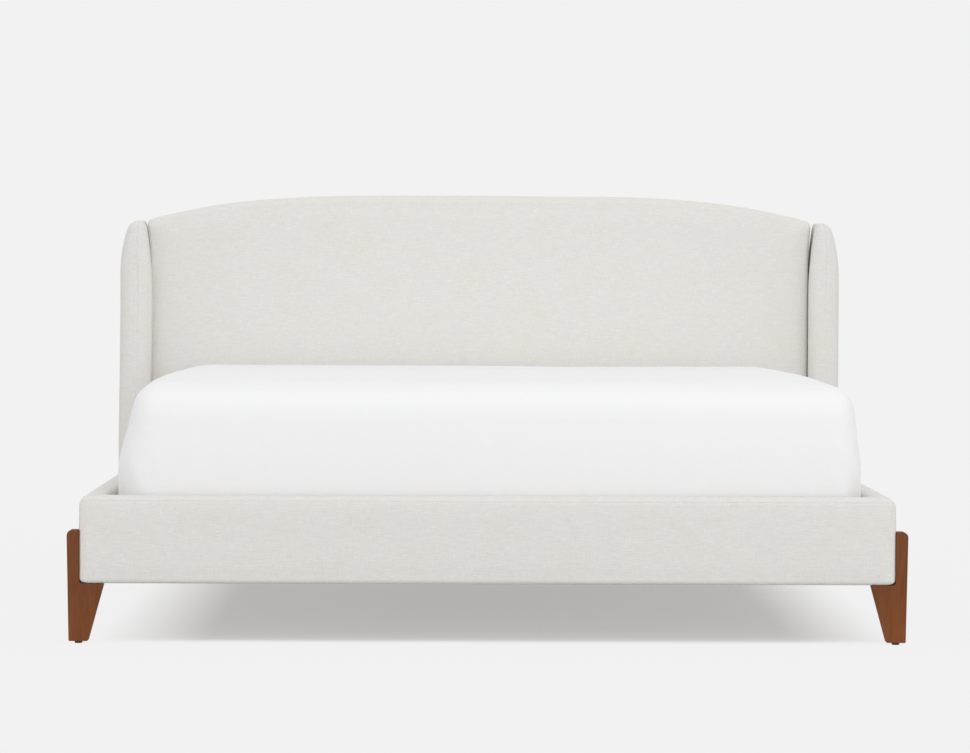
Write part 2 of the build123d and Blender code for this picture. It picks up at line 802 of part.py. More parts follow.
def make_fitted_sheet():
    """A fitted sheet over the mattress, tucked under its edges and open beneath."""
    open_x = mattress_width / 2 - sheet_tuck
    open_y = mattress_length / 2 - sheet_tuck
    with BuildPart() as fitted_sheet:
        add(mattress_form(sheet_ease + sheet_thickness))
        add(mattress_form(sheet_ease), mode=Mode.SUBTRACT)
        block((-open_x, open_x), (mattress_middle_y - open_y, mattress_middle_y + open_y),
              (slat_top - sheet_cut_reach, slat_top + mattress_heel_radius), mode=Mode.SUBTRACT)
    return fitted_sheet.part


# ---------------------------------------------------------------- build every piece
def main():
    os.makedirs("parts", exist_ok=True)
    save(make_footboard_core(), "footboard_core")
    save(make_footboard_pad(), "footboard_pad")
    save(make_head_rail(), "head_rail")
    save(make_corner_brackets(), "corner_brackets")
    save(make_corner_bolts(), "corner_bolts")
    save(make_ledger_screws(), "ledger_screws")
    save(make_slat_tapes(), "slat_tapes")
    save(make_tube(beam_width, beam_height, (beam_front_y, beam_joint_y + beam_overlap / 2)), "mid_beam_outer")
    save(make_tube(inner_beam_width, inner_beam_height, (beam_joint_y - beam_overlap / 2, beam_back_y)),
         "mid_beam_inner")
    save(make_beam_hangers(), "beam_hangers")
    save(make_hanger_screws(), "hanger_screws")
    save(make_leg_studs(), "leg_studs")
    save(make_leg_dowels(), "leg_dowels")
    save(make_glide_inserts(), "glide_inserts")
    save(make_headboard_panel(), "headboard_panel")
    save(make_headboard_pad(), "headboard_pad")
    save(make_headboard_centre_stile(), "headboard_centre_stile")
    save(make_headboard_upper_rail(), "headboard_upper_rail")
    save(make_headboard_lower_rail(), "headboard_lower_rail")
    save(make_headboard_mounting_board(), "headboard_mounting_board")
    save(make_headboard_back_cover(), "headboard_back_cover")
    save(make_headboard_bolts(), "headboard_bolts")
    save(make_headboard_nuts(), "headboard_nuts")
    save(make_wing_bolts(), "wing_bolts")
    save(make_mattress(), "mattress")
    save(make_fitted_sheet(), "fitted_sheet")
    for number in range(slat_count):
        save(make_slat(number), f"slat_{number + 1:02d}")
    for name, side in SIDES.items():
        save(make_side_rail_core(side), f"side_rail_core_{name}")
        save(make_side_rail_pad(side), f"side_rail_pad_{name}")
        save(make_ledger(side), f"slat_ledger_{name}")
        save(make_headboard_stile(side), f"headboard_stile_{name}")
        save(make_wing_core(side), f"wing_core_{name}")
        save(make_wing_pad(side), f"wing_pad_{name}")
    for name, (side, front, fixing_y) in LEGS.items():
        save(make_leg(side, front, fixing_y), f"leg_{name}")
        save(make_glide(side, front), f"glide_{name}")


main()
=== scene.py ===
import math

import bmesh
import bpy
import numpy as np
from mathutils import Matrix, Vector


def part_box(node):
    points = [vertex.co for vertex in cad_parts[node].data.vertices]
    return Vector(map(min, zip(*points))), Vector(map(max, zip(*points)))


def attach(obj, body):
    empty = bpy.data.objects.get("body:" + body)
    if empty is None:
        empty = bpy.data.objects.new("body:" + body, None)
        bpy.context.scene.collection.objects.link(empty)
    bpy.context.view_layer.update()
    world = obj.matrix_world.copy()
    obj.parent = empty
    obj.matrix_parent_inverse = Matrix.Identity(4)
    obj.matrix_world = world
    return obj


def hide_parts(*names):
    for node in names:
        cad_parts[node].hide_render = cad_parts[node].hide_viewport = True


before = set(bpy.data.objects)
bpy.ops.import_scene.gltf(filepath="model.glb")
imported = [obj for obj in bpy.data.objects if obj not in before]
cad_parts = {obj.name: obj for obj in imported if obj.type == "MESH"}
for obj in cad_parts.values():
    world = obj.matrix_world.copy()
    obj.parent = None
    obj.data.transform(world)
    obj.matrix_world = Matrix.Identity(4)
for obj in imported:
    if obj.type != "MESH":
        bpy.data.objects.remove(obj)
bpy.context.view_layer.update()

scene = bpy.context.scene
X, Y, Z = 0, 1, 2


# ---------------------------------------------------------------- node trees
def add(tree, kind, inputs=None, **settings):
    """One shader node. An input is a number, a colour or another node's output socket."""
    made = tree.nodes.new("ShaderNode" + kind)
    for name, value in settings.items():
        setattr(made, name, value)
    for name, value in (inputs or {}).items():
        socket = made.inputs[name]
        if isinstance(value, bpy.types.NodeSocket):
            tree.links.new(value, socket)
        else:
            socket.default_value = value
    return made


def calc(tree, operation, a, b=0.0, c=0.0, clamp=False):
    """The result of one Math node."""
    return add(tree, "Math", {0: a, 1: b, 2: c}, operation=operation, use_clamp=clamp).outputs[0]


def times(tree, a, b):
    return calc(tree, "MULTIPLY", a, b)


def minus(tree, a, b):
    return calc(tree, "SUBTRACT", a, b)


def vector(tree, x, y, z=0.0):
    return add(tree, "CombineXYZ", {0: x, 1: y, 2: z}).outputs[0]


def darkened(tree, colour, factor):
    """A colour multiplied by one factor, which may also be above 1."""
    return blend(tree, 1.0, colour, vector(tree, factor, factor, factor), "MULTIPLY")


def ray_kinds(tree):
    """Whether a ray comes straight from the camera, and whether it comes from it by any way that shows the
    backdrop: straight, by a reflection or through glass."""
    path = add(tree, "LightPath").outputs
    mirrored = calc(tree, "MAXIMUM", path["Is Glossy Ray"], path["Is Transmission Ray"])
    return path["Is Camera Ray"], calc(tree, "MAXIMUM", path["Is Camera Ray"], mirrored)


def noise(tree, place, scale=1.0, detail=2.0, rough=0.5, warp=0.0):
    """A noise's grey value, about 0.5 on average."""
    return add(tree, "TexNoise", {"Vector": place, "Scale": scale, "Detail": detail, "Roughness": rough,
                                  "Distortion": warp}).outputs[0]


def remap(tree, value, low, high, to_low=0.0, to_high=1.0):
    """A value carried from one range to another and kept inside it."""
    return add(tree, "MapRange", {0: value, 1: low, 2: high, 3: to_low, 4: to_high}, clamp=True).outputs[0]


def blend(tree, share, a, b, kind="MIX"):
    """Two colours mixed by a share."""
    made = add(tree, "Mix", {0: share, 6: a, 7: b}, data_type="RGBA", blend_type=kind)
    return made.outputs[2]


def grade(tree, value, *stops):
    """A colour ramp through (place, colour) stops."""
    ramp = add(tree, "ValToRGB", {0: value})
    while len(ramp.color_ramp.elements) < len(stops):
        ramp.color_ramp.elements.new(0.5)
    for element, (place, colour) in zip(ramp.color_ramp.elements, stops):
        element.position = place
        element.color = (*colour, 1)
    return ramp.outputs[0]


def material(name, **constants):
    """A new material with one Principled shader, whose constants are set on its own sockets."""
    made = bpy.data.materials.new(name)
    made.use_nodes = True
    tree = made.node_tree
    tree.nodes.clear()
    shader = add(tree, "BsdfPrincipled", {key.replace("_", " "): value for key, value in constants.items()})
    add(tree, "OutputMaterial", {0: shader.outputs[0]})
    return made, tree, shader


def finish_material(tree, shader, colour, rough, height=None, distance=0.0003, strength=0.5):
    """Links a colour, a roughness and a bump height to a shader."""
    tree.links.new(colour, shader.inputs["Base Color"])
    tree.links.new(rough, shader.inputs["Roughness"])
    if height is not None:
        bump = add(tree, "Bump", {"Height": height, "Distance": distance, "Strength": strength})
        tree.links.new(bump.outputs[0], shader.inputs["Normal"])


# ---------------------------------------------------------------- materials
def woven(name, tones, pitch, slub, mottle, bump, source="cloth", **constants):
    """A plain weave. tones are (dark, middle, pale) yarn colours, pitch is the yarn spacing in metres, and
    slub and mottle say how much single yarns and broad patches differ. source is the cloth's UV map, or two
    letters for the object's axes that the cloth lies along."""
    made, tree, shader = material(name, **constants)
    if source == "cloth":
        place = add(tree, "UVMap", uv_map="cloth").outputs[0]
        axes = (X, Y)
    else:
        place = add(tree, "TexCoord").outputs["Object"]
        axes = ["XYZ".index(letter) for letter in source]
    parts = add(tree, "SeparateXYZ", {0: place}).outputs
    u, v = parts[axes[0]], parts[axes[1]]
    flat = vector(tree, u, v)
    wander = noise(tree, flat, 38.0, 2.0)
    wander2 = noise(tree, vector(tree, v, u, 3.7), 38.0, 2.0)
    a = calc(tree, "MULTIPLY_ADD", wander, 1.6, calc(tree, "DIVIDE", u, pitch))
    b = calc(tree, "MULTIPLY_ADD", wander2, 1.6, calc(tree, "DIVIDE", v, pitch))
    sa = calc(tree, "SINE", times(tree, a, math.pi))
    sb = calc(tree, "SINE", times(tree, b, math.pi))
    over = calc(tree, "MULTIPLY_ADD", times(tree, sa, sb), 3.0, 0.5, clamp=True)
    under = minus(tree, 1.0, over)
    high_a = calc(tree, "ABSOLUTE", sa)
    high_b = calc(tree, "ABSOLUTE", sb)
    weft = noise(tree, vector(tree, times(tree, u, 34.0), times(tree, b, 0.8), 1.3), 1.0, 2.0, 0.6)
    warp = noise(tree, vector(tree, times(tree, v, 42.0), times(tree, a, 0.8), 7.9), 1.0, 2.0, 0.6)
    yarn = calc(tree, "ADD", times(tree, weft, under), times(tree, warp, over))
    ridge = calc(tree, "ADD", times(tree, high_b, under), times(tree, high_a, over))
    dash = noise(tree, vector(tree, times(tree, u, 48.0), times(tree, v, 400.0), 2.0), 1.0, 1.0)
    dash2 = noise(tree, vector(tree, times(tree, u, 420.0), times(tree, v, 60.0), 5.0), 1.0, 1.0)
    slubs = calc(tree, "ADD", remap(tree, dash, 0.63, 0.73), remap(tree, dash2, 0.72, 0.8, 0.0, 0.5))
    dark = calc(tree, "ADD", remap(tree, dash, 0.34, 0.24), remap(tree, dash2, 0.3, 0.22, 0.0, 0.5))
    patch = noise(tree, flat, 9.0, 3.0)
    tone = grade(tree, yarn, (0.32, tones[0]), (0.5, tones[1]), (0.66, tones[2]))
    bright = [min(1.0, part * 1.05) for part in tones[2]]
    tone = blend(tree, times(tree, slubs, slub), tone, (*bright, 1))
    tone = blend(tree, times(tree, dark, slub), tone, (*tones[0], 1))
    warm = grade(tree, patch, (0.3, (1.0, 0.985, 0.965)), (0.5, (1.0, 1.0, 1.0)), (0.7, (0.985, 0.992, 1.0)))
    tone = blend(tree, mottle, tone, warm, "MULTIPLY")
    # painted shade: each yarn is darkened by up to a tenth towards its edges, away from its crown, where
    # shade falls between yarns
    tone = darkened(tree, tone, remap(tree, ridge, 0.0, 0.75, 0.9, 1.0))
    rough = remap(tree, ridge, 0.0, 1.0, 0.96, 0.86)
    height = calc(tree, "MULTIPLY_ADD", slubs, 0.35, ridge)
    finish_material(tree, shader, tone, rough, height, pitch * 0.3, bump)
    return made


def timber(name, tones, along, fibre, scale=1.0, bump=0.15, painted_floor_light=0.0, **constants):
    """Sawn or planed wood whose grain runs along one axis. tones are (dark, middle, pale), and the share
    given after bump says how much paler the stain is painted near the floor: painted light, standing in for
    light bounced off it."""
    made, tree, shader = material(name, **constants)
    place = add(tree, "TexCoord").outputs["Object"]
    squeeze = [1.0, 1.0, 1.0]
    squeeze[along] = 0.09
    grain_place = add(tree, "Mapping", {"Vector": place, "Scale": squeeze}).outputs[0]
    squeeze[along] = 0.02
    fibre_place = add(tree, "Mapping", {"Vector": place, "Scale": squeeze}).outputs[0]
    figure = noise(tree, grain_place, 26.0 * scale, 4.0, 0.55, 1.2)
    rings = calc(tree, "MULTIPLY_ADD", calc(tree, "SINE", times(tree, figure, 34.0)), 0.5, 0.5)
    fine = noise(tree, fibre_place, 900.0 * scale, 3.0, 0.6)
    pores = remap(tree, noise(tree, fibre_place, 1500.0 * scale, 1.0), 0.62, 0.72)
    mixed = calc(tree, "ADD", times(tree, rings, 1.0 - fibre), times(tree, fine, fibre))
    tone = grade(tree, mixed, (0.15, tones[0]), (0.5, tones[1]), (0.85, tones[2]))
    tone = blend(tree, times(tree, pores, 0.35), tone, (*tones[0], 1))
    tone = darkened(tree, tone, remap(tree, noise(tree, grain_place, 7.0, 2.0), 0.3, 0.7, 0.9, 1.06))
    # painted light: the stain is made paler from 14 cm above the floor down to 2 cm, standing in for light
    # bounced up off the floor
    if painted_floor_light:
        up = add(tree, "SeparateXYZ", {0: place}).outputs[Z]
        tone = darkened(tree, tone, remap(tree, up, 0.14, 0.02, 1.0, 1.0 + painted_floor_light))
    level = constants.get("Roughness", 0.55)
    rough = calc(tree, "MULTIPLY_ADD", minus(tree, fine, 0.5), 0.25, level)
    height = calc(tree, "MULTIPLY_ADD", pores, -0.8, fine)
    finish_material(tree, shader, tone, rough, height, 0.00025, bump)
    return made


def coated(name, colour, rough, speck, size, bump, metal=0.0, **constants):
    """Moulded plastic, powder coat or plated steel: one colour with fine mottling and a textured surface."""
    made, tree, shader = material(name, Metallic=metal, **constants)
    place = add(tree, "TexCoord").outputs["Object"]
    grain = noise(tree, place, 1.0 / size, 3.0, 0.6)
    broad = noise(tree, place, 24.0, 3.0, 0.6)
    fine = calc(tree, "MULTIPLY_ADD", minus(tree, grain, 0.5), speck, 1.0)
    tone = darkened(tree, (*colour, 1), calc(tree, "MULTIPLY_ADD", minus(tree, broad, 0.5), speck, fine))
    level = calc(tree, "MULTIPLY_ADD", minus(tree, grain, 0.5), 0.2, rough)
    finish_material(tree, shader, tone, level, grain, size, bump)
    return made


# (dark, middle, pale) of each cloth and wood
LINEN = ((0.755, 0.736, 0.695), (0.806, 0.791, 0.755), (0.856, 0.845, 0.815))
BACK_CLOTH = ((0.56, 0.54, 0.50), (0.70, 0.685, 0.65), (0.78, 0.77, 0.74))
PERCALE = ((0.915, 0.915, 0.923), (0.938, 0.939, 0.948), (0.955, 0.956, 0.962))
TICKING = ((0.70, 0.71, 0.73), (0.80, 0.81, 0.83), (0.88, 0.88, 0.89))
WEBBING = ((0.012, 0.012, 0.014), (0.032, 0.032, 0.035), (0.07, 0.07, 0.075))
STAIN = ((0.146, 0.049, 0.018), (0.180, 0.062, 0.024), (0.215, 0.077, 0.031))
PINE = ((0.50, 0.31, 0.14), (0.66, 0.46, 0.25), (0.78, 0.60, 0.38))
BIRCH = ((0.60, 0.42, 0.24), (0.72, 0.55, 0.36), (0.80, 0.66, 0.48))
BEECH = ((0.45, 0.26, 0.12), (0.58, 0.36, 0.19), (0.66, 0.45, 0.27))
PLYWOOD = ((0.46, 0.30, 0.15), (0.58, 0.41, 0.23), (0.68, 0.52, 0.33))

linen = woven("linen_weave", LINEN, 0.00125, 0.75, 0.8, 0.35,
              Sheen_Weight=0.15, Sheen_Roughness=0.4, Specular_IOR_Level=0.25)
lining = woven("back_lining_cloth", BACK_CLOTH, 0.0009, 0.25, 0.6, 0.35, Specular_IOR_Level=0.2)
percale = woven("sheet_percale", PERCALE, 0.0005, 0.2, 0.3, 0.2,
                Sheen_Weight=0.1, Sheen_Roughness=0.3, Specular_IOR_Level=0.3)
ticking = woven("mattress_ticking_cloth", TICKING, 0.0011, 0.3, 0.5, 0.4, Specular_IOR_Level=0.25)
webbing = woven("slat_webbing", WEBBING, 0.0016, 0.3, 0.4, 0.6, source="YX", Specular_IOR_Level=0.3)
# painted light: the legs' stain is painted up to 1.3 times as bright near the floor, in place of light
# bounced off it
leg_wood = timber("stained_leg_wood", STAIN, Z, 0.8, 0.9, 0.1, painted_floor_light=0.3,
                  Roughness=0.58, Specular_IOR_Level=0.08)
pine = {axis: timber(f"pine_along_{'xyz'[axis]}", PINE, axis, 0.3, 0.7, 0.2, Roughness=0.7)
        for axis in (X, Y, Z)}
birch = timber("birch_along_x", BIRCH, X, 0.5, 0.8, 0.12, Roughness=0.5)
beech = timber("beech_along_x", BEECH, X, 0.6, 1.4, 0.12, Roughness=0.6)
ply_face = timber("plywood_face", PLYWOOD, Z, 0.35, 0.6, 0.15, Roughness=0.65)
steel_black = coated("powder_coated_steel", (0.07, 0.074, 0.078), 0.5, 0.25, 0.0011, 0.25)
steel_zinc = coated("zinc_plated_steel", (0.62, 0.63, 0.64), 0.33, 0.2, 0.0006, 0.12, metal=1.0)
nylon = coated("glide_nylon", (0.022, 0.018, 0.016), 0.55, 0.3, 0.0009, 0.2)


# ---------------------------------------------------------------- blocks: a box's surface as a lattice
def lines(low, high, zone_low, zone_high, step, cells):
    """Places of the lattice lines on one axis: cells steps in each rounded zone at its ends, and lines about
    step apart between the zones."""
    count = max(1, round((high - low - zone_low - zone_high) / step))
    parts = (
        np.linspace(low, low + zone_low, cells + 1 if zone_low else 1),
        np.linspace(high - zone_high, high, cells + 1 if zone_high else 1),
        np.linspace(low + zone_low, high - zone_high, count + 1),
    )
    return np.unique(np.round(np.concatenate(parts), 6))


def drop_near(places, kept, gap):
    """Leaves out lines that stand closer than gap to a kept one, which would leave slivers beside a seam. The
    two end lines stay."""
    kept = np.asarray(kept, float)
    if not len(kept):
        return places
    near = np.abs(places[:, None] - kept[None, :]).min(1)
    ends = (places == places[0]) | (places == places[-1])
    return np.unique(np.concatenate([places[(near > gap) | ends], np.round(kept, 6)]))


class Block:
    """A box's surface as a lattice. flat holds its points on the box, and points the same ones rounded and
    bent. radii and step are per axis, cells is how many steps a rounded zone gets, extra holds more lattice
    lines per axis, and radii_at gives each point radii of its own."""

    def __init__(self, low, high, radii, step, cells=5, extra=((), (), ()),
                 bend=None, radii_at=None, power=2.0):
        self.low, self.high = np.array(low, float), np.array(high, float)
        self.radii, self.power = np.array(radii, float), power
        self.axes = [
            drop_near(lines(low[n], high[n], *self.radii[n], step[n], cells), extra[n], step[n] * 0.22)
            for n in range(3)
        ]
        sizes = [len(axis) for axis in self.axes]
        shown = np.zeros(sizes, bool)
        shown[[0, -1]] = shown[:, [0, -1]] = shown[:, :, [0, -1]] = True
        self.cells_at = np.stack(np.nonzero(shown), 1)
        index = np.full(sizes, -1)
        index[shown] = np.arange(len(self.cells_at))
        self.flat = np.stack([self.axes[n][self.cells_at[:, n]] for n in range(3)], 1)
        quads, sides = [], []
        for side, (grid, flip) in enumerate((
            (index[0], True), (index[-1], False), (index[:, 0], False), (index[:, -1], True),
            (index[:, :, 0], True), (index[:, :, -1], False),
        )):
            found = np.stack([grid[:-1, :-1], grid[1:, :-1], grid[1:, 1:], grid[:-1, 1:]], -1).reshape(-1, 4)
            quads.append(found[:, ::-1] if flip else found)
            sides.append(np.full(len(found), side))
        self.quads, self.sides = np.concatenate(quads), np.concatenate(sides)
        radii_here = self.radii[None] if radii_at is None else radii_at(self.flat)
        self.points = self.rounded(radii_here)
        self.cloth = self.flat
        if bend:
            self.points, self.cloth = bend(self.points), bend(self.flat)

    def rounded(self, radii):
        """The lattice points drawn in to rounded corners of those radii, low and high on each axis. A power
        of 2 makes them ellipsoids, and a higher one squarer."""
        a, b = radii[..., 0], radii[..., 1]
        inner = np.clip(self.flat, self.low + a, self.high - b)
        size = np.where(self.flat < inner, a, b)
        size = np.where(size == 0, 1.0, size)
        off = (self.flat - inner) / size
        longest = np.abs(off).max(1, keepdims=True)
        length = np.maximum(np.linalg.norm(off, self.power, 1, True), 1e-9)
        return inner + off * longest / length * size

    def on(self, side):
        """Which points lie on a side: 0 and 1 are x low and high, 2 and 3 are y, 4 and 5 are z."""
        axis, end = divmod(side, 2)
        return self.cells_at[:, axis] == (len(self.axes[axis]) - 1 if end else 0)

    def normals(self):
        corners = self.points[self.quads]
        across = np.cross(corners[:, 2] - corners[:, 0], corners[:, 3] - corners[:, 1])
        found = np.zeros_like(self.points)
        for n in range(4):
            np.add.at(found, self.quads[:, n], across)
        return found / np.maximum(np.linalg.norm(found, axis=1, keepdims=True), 1e-12)

    def push(self, amounts):
        """Moves every point out along its normal."""
        self.points = self.points + self.normals() * amounts[:, None]

    def groove(self, axis, place, where, depth=0.0014, width=0.0013, puff=0.0002):
        """A sewn seam: a narrow valley between two soft ridges."""
        away = self.flat[:, axis] - place
        shape = -depth * np.exp(-((away / width) ** 2))
        shape += puff * np.exp(-(((np.abs(away) - 4.5 * width) / (2.2 * width)) ** 2))
        self.push(shape * where)

    def cloth_places(self, main):
        """Where each quad corner lies on the cloth, in metres. The cloth runs along main, X or Y, and is
        unfolded over the edges from the block's low side on the other of those two axes."""
        other = Y if main == X else X
        place = self.cloth[self.quads]
        depth = place[..., other] - self.cloth[:, other].min()
        u, v = place[..., main].copy(), place[..., Z].copy()
        sides = self.sides[:, None]
        u += depth * ((sides == 2 * main + 1).astype(float) - (sides == 2 * main))
        v += depth * ((sides == 5).astype(float) - (sides == 4))
        return np.stack([u, v], -1)

    def build(self, name, main=X, shift=0.0):
        uv = self.cloth_places(main) + shift
        return mesh_piece(name, self.points, self.quads, uv)


def mesh_piece(name, points, quads, uv=None):
    """A smooth-shaded object from points and quads, with its places on the cloth as a UV map."""
    mesh = bpy.data.meshes.new(name)
    mesh.from_pydata(points.tolist(), [], quads.tolist())
    if uv is not None:
        mesh.uv_layers.new(name="cloth").data.foreach_set("uv", uv.astype(np.float32).ravel())
    mesh.shade_smooth()
    made = bpy.data.objects.new(name, mesh)
    scene.collection.objects.link(made)
    return made


def applied(piece):
    """Puts the result of a piece's modifiers into its mesh."""
    bpy.context.view_layer.update()
    done = piece.evaluated_get(bpy.context.evaluated_depsgraph_get())
    mesh = bpy.data.meshes.new_from_object(done)
    piece.modifiers.clear()
    old = piece.data
    piece.data = mesh
    bpy.data.meshes.remove(old)
    return piece


def subdivided(piece):
    """Smooths a piece by one level."""
    made = piece.modifiers.new("subdivide", "SUBSURF")
    made.levels = made.render_levels = 1
    return applied(piece)


def carved(piece, *cutters):
    """Cuts other pieces' space out of a piece and removes the cutters."""
    for cutter in cutters:
        made = piece.modifiers.new("carve", "BOOLEAN")
        made.operation, made.solver, made.object = "DIFFERENCE", "EXACT", cutter
    applied(piece)
    for cutter in cutters:
        bpy.data.objects.remove(cutter)
    piece.data.set_sharp_from_angle(angle=math.radians(50))


def cutter_box(low, high):
    """A plain box that carved() takes away."""
    return Block(low, high, np.zeros((3, 2)), (9, 9, 9), 1).build("cutter")


FRAMES = 20
STIFFNESS = 20.0


def inflate(block, free, cap, pressure=4.0):
    """Blows a block up as cloth, with gravity off. free is 1 where a point may move and 0 where it is held.
    Only the outward part of each point's move is kept, and it is eased to stay under cap."""
    probe = mesh_piece("probe", block.points, block.quads)
    held = probe.vertex_groups.new(name="held")
    weights = np.round(1 - free, 2)
    for weight in np.unique(weights):
        held.add(np.nonzero(weights == weight)[0].tolist(), float(weight), "REPLACE")
    cloth = probe.modifiers.new("cloth", "CLOTH")
    cloth.settings.quality = 4
    cloth.settings.mass = 0.3
    cloth.settings.tension_stiffness = STIFFNESS
    cloth.settings.compression_stiffness = STIFFNESS
    cloth.settings.bending_stiffness = 0.5
    cloth.settings.vertex_group_mass = "held"
    cloth.settings.use_pressure = True
    cloth.settings.uniform_pressure_force = pressure
    cloth.settings.effector_weights.gravity = 0
    cloth.collision_settings.use_collision = False
    cloth.point_cache.frame_start, cloth.point_cache.frame_end = 1, FRAMES
    for number in range(1, FRAMES + 1):
        scene.frame_set(number)
    done = probe.evaluated_get(bpy.context.evaluated_depsgraph_get())
    found = np.zeros(len(block.points) * 3, np.float32)
    done.data.vertices.foreach_get("co", found)
    out = ((found.reshape(-1, 3) - block.points) * block.normals()).sum(1)
    block.push(cap * np.tanh(np.maximum(out, 0) / cap))
    bpy.data.objects.remove(probe)
    scene.frame_set(1)


def eased(value, start, end):
    """0 before start, 1 after end and a smooth step between them."""
    share = np.clip((value - start) / (end - start), 0, 1)
    return share * share * (3 - 2 * share)


def uneven(points, amount, size, seed):
    """Slow waves over a surface, from a few seeded sines, about 1 amount high."""
    draw = np.random.default_rng(seed)
    total = np.zeros(len(points))
    for _ in range(7):
        direction = draw.normal(size=3)
        direction /= np.linalg.norm(direction)
        length = size * draw.uniform(0.6, 1.8)
        total += np.sin(points @ direction * 2 * math.pi / length + draw.uniform(0, 6.28))
    return total * amount / 3


def wear(piece, surface, node, body="bed_frame"):
    """Gives a piece its material, slot and body, and hides the CAD node that it stands for."""
    piece.data.materials.clear()
    piece.data.materials.append(surface)
    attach(piece, body)
    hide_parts(node)


def span(node):
    """The low and high corners of a CAD node's box."""
    low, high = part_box(node)
    return np.array(low), np.array(high)


# ---------------------------------------------------------------- boards wrapped in foam and linen
SEAM_DROP = 0.010
SEAM_HALF = 0.002
EDGE = 0.013
CORNER = 0.020
FOOT_EDGE = 0.009
FOOTBOARD_CORNER = 0.024
BOARD_WAVE = 0.0005
PAST = 0.05  # how far a cutter goes past the piece that it opens
LAP = 0.002  # how far two cutters overlap
LINING_INSET = 0.008
LINING_BOTTOM = span("slat_01")[1][Z] + 0.002


def seam_lines(place):
    """Lattice lines that are close enough together to hold a seam's groove."""
    return [place + d for d in (-0.007, -0.0035, -0.0014, 0.0, 0.0014, 0.0035, 0.007)]


def make_footboard():
    low, high = span("footboard_pad")
    core_low, core_high = span("footboard_core")
    seam = high[Z] - SEAM_DROP
    radii = ((FOOTBOARD_CORNER, FOOTBOARD_CORNER), (EDGE, EDGE), (EDGE, FOOTBOARD_CORNER))
    block = Block(low, high, radii, (0.014, 0.01, 0.012), 5, ((), (), seam_lines(seam)))
    held = block.on(3) | block.on(4) | (np.abs(block.flat[:, Z] - seam) < SEAM_HALF)
    inflate(block, 1.0 - held, 0.0025)
    front = block.on(2).astype(float)
    block.push(uneven(block.flat, BOARD_WAVE, 0.35, 11) * front)
    around = (block.on(2) | block.on(0) | block.on(1)).astype(float)
    block.groove(Z, seam, around)
    piece = subdivided(block.build("footboard_cover", shift=0.31))
    carved(
        piece,
        cutter_box((core_low[X], core_low[Y], core_low[Z] - PAST), core_high),
        cutter_box((core_low[X] + LINING_INSET, core_high[Y] - LAP, core_low[Z] - PAST),
                   (core_high[X] - LINING_INSET, high[Y] + PAST, LINING_BOTTOM)),
    )
    wear(piece, linen, "footboard_pad")


def make_side_rail(name, side):
    low, high = span(f"side_rail_pad_{name}")
    core_low, core_high = span(f"side_rail_core_{name}")
    seam = high[Z] - SEAM_DROP
    outer, inner = (0, 1) if side < 0 else (1, 0)
    across = (CORNER, EDGE) if side < 0 else (EDGE, CORNER)
    radii = (across, (0, 0), (FOOT_EDGE, CORNER))
    block = Block(low, high, radii, (0.01, 0.014, 0.012), 5, ((), (), seam_lines(seam)))
    held = block.on(inner) | block.on(4) | block.on(2) | block.on(3)
    held |= np.abs(block.flat[:, Z] - seam) < SEAM_HALF
    inflate(block, 1.0 - held, 0.0035)
    face = block.on(outer).astype(float)
    block.push(uneven(block.flat, BOARD_WAVE, 0.35, 21 + side) * face)
    block.groove(Z, seam, face)
    piece = subdivided(block.build(f"side_rail_cover_{name}", main=Y, shift=1.7 + side))
    if side > 0:
        lining = (low[X] - PAST, core_low[X] + LAP)
    else:
        lining = (core_high[X] - LAP, high[X] + PAST)
    front, back, under = low[Y] - PAST, high[Y] + PAST, core_low[Z] - PAST
    carved(
        piece,
        cutter_box((core_low[X], front, under), (core_high[X], back, core_high[Z])),
        cutter_box((lining[0], front, under), (lining[1], back, LINING_BOTTOM)),
    )
    wear(piece, linen, f"side_rail_pad_{name}")


# ---------------------------------------------------------------- headboard
ARCH_RISE = 0.081
PAD_LOW, PAD_HIGH = span("headboard_pad")
RAIL_TOP = span("side_rail_pad_left")[1][Z]
HEAD_FLARE = 0.009  # how far the top corners follow the wings outward
HEAD_CROWN = 0.010  # how far the sides of the front stand behind its middle
HEAD_FLAT_BACK = 0.034
HEAD_FREE_DEPTH = 0.05
WING_LAP = {"left": 0.009, "right": 0.004}  # how far each wing laps over the headboard
WING_LEAN = {"left": 0.005, "right": 0.0}
WING_TAPER_IN, WING_TAPER_OUT = 0.020, 0.034
WING_SEAM_OFF = 0.004
WING_NOSE = (0.040, 0.034, 0.026)
WING_BACK_EDGE = 0.006
WING_FOOT_EDGE = 0.003


def arched(points, half, base, top):
    """Lowers a straight top to the headboard's arch, more the nearer a point is to the top."""
    share = np.clip(np.abs(points[:, X]) / half, 0, 1)
    rise = np.clip((points[:, Z] - base) / (top - base), 0, 1)
    bent = points.copy()
    bent[:, Z] -= ARCH_RISE * share**4 * rise
    return bent


